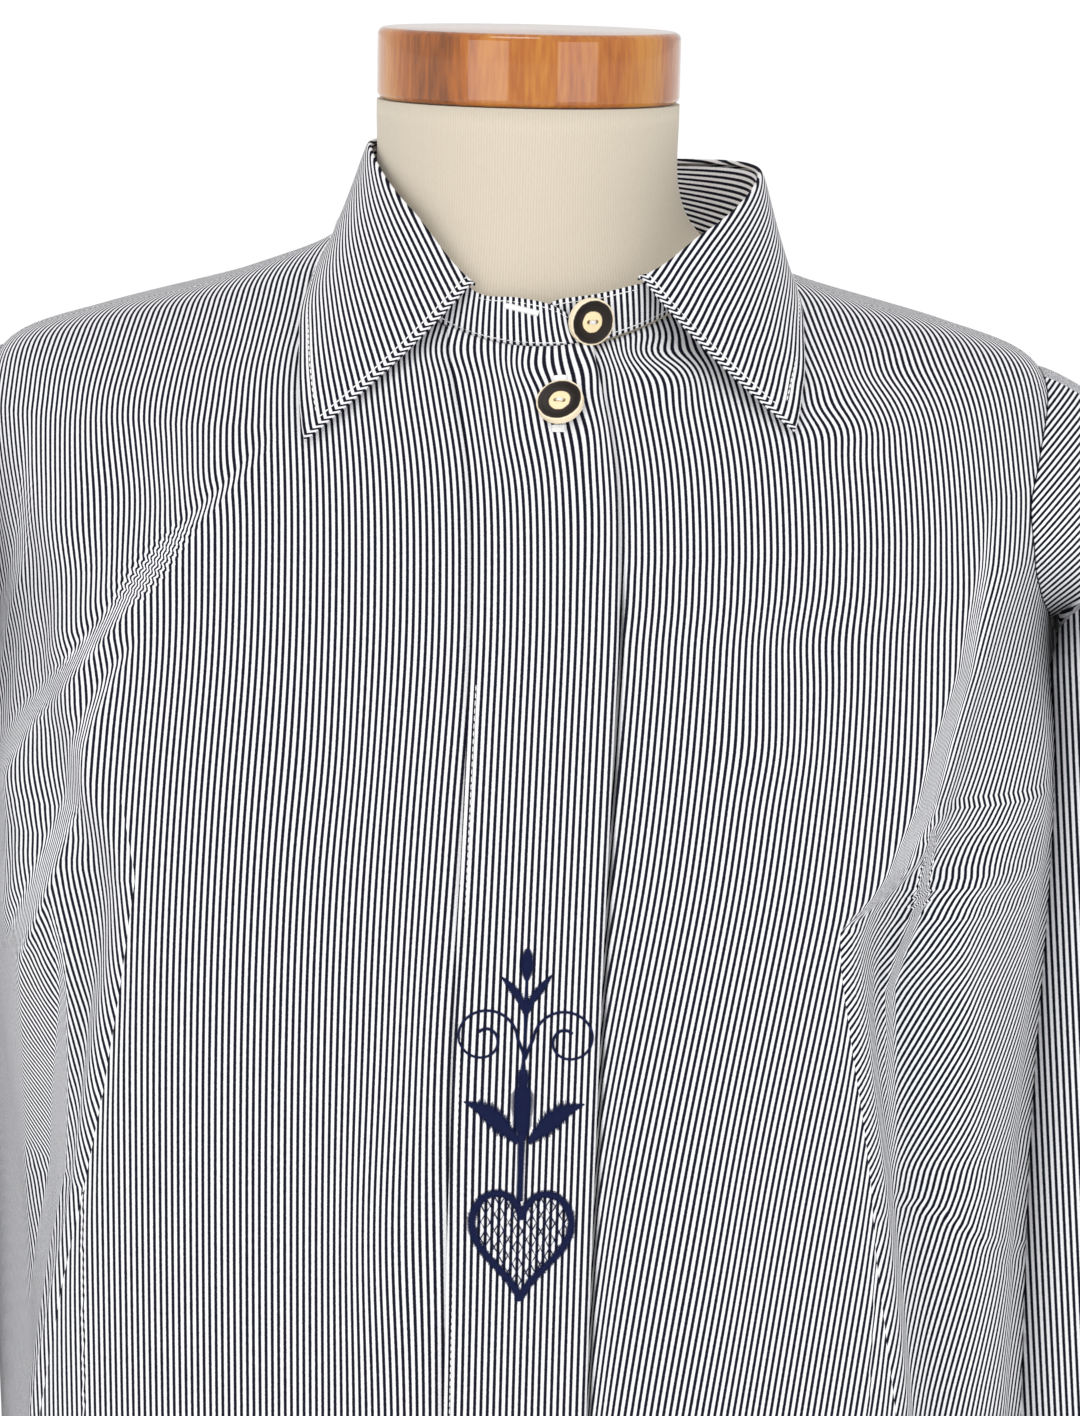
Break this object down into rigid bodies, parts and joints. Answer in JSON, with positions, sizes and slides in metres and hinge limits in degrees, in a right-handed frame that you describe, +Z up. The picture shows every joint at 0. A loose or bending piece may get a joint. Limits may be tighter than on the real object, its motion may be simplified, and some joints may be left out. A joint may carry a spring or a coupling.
{
  "type": "striped trachten blouse on a limbless dress form",
  "caption": "Long-sleeved striped folk-dress shirt blouse with concealed placket, open pointed collar and embroidered front, worn by a limbless table-top dress form.",
  "frame": {"origin": "middle of the base board's underside, on the surface the form stands on, below the form's neck axis", "axes": "+Z up, the blouse's front faces -Y, +X is the wearer's left"},
  "size_m": [0.5502, 0.2852, 0.8603],
  "materials": {
    "striped_cotton": "fine navy and white striped plain-weave cotton, matt",
    "horn_look_button": "polished horn look, dark brown and cream",
    "cream_jersey": "cream ribbed cotton jersey, matt",
    "lacquered_pine": "glossy clear lacquer on pine"
  },
  "bodies": {
    "root": {"front_right": "striped_cotton", "front_left": "striped_cotton", "back": "striped_cotton", "placket": "striped_cotton", "collar_stand": "striped_cotton", "collar": "striped_cotton", "sleeve_right": "striped_cotton", "sleeve_left": "striped_cotton", "cuff_right": "striped_cotton", "cuff_left": "striped_cotton", "button_stand": "horn_look_button", "button_front": "horn_look_button", "cuff_button_right": "horn_look_button", "cuff_button_left": "horn_look_button", "form_torso": "cream_jersey", "form_neck_cap": "lacquered_pine", "form_base": "lacquered_pine"}
  },
  "joints": []
}
